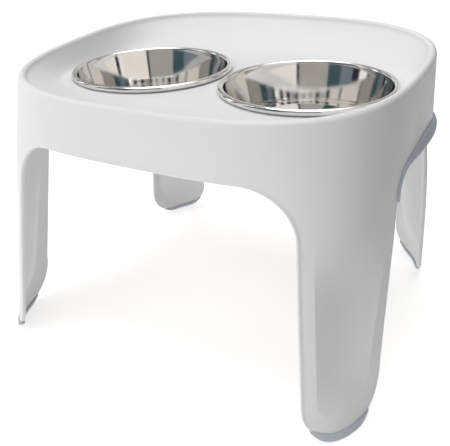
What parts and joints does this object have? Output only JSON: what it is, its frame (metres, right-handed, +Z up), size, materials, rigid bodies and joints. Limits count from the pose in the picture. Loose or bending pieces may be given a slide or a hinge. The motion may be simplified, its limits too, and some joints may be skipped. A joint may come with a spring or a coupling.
{
  "type": "raised dog feeder stand",
  "caption": "Moulded plastic dog feeder stand with splayed arched legs, a dished tray with a raised rim, lift-out steel bowls, soft foot strips and carrying grips.",
  "frame": {"origin": "on the floor, under the middle of the stand", "axes": "+X along the long side to the right bowl, +Y to the back where the rim is highest, +Z up"},
  "size_m": [0.4842, 0.421, 0.343],
  "materials": {
    "shell": "satin white moulding",
    "bowl": "polished stainless",
    "soft": "matt blue-grey soft plastic"
  },
  "bodies": {
    "stand": {"stand_shell": "shell", "foot_strip_front_left": "soft", "foot_strip_front_right": "soft", "foot_strip_back_left": "soft", "foot_strip_back_right": "soft", "grip_left": "soft", "grip_right": "soft"},
    "left_bowl": {"bowl_left": "bowl"},
    "right_bowl": {"bowl_right": "bowl"}
  },
  "joints": [
    {"name": "left_bowl_lift", "type": "slide", "parent": "stand", "child": "left_bowl", "axis": [0, 0, 1], "range_m": [0, 0.11]},
    {"name": "right_bowl_lift", "type": "slide", "parent": "stand", "child": "right_bowl", "axis": [0, 0, 1], "range_m": [0, 0.11]}
  ]
}
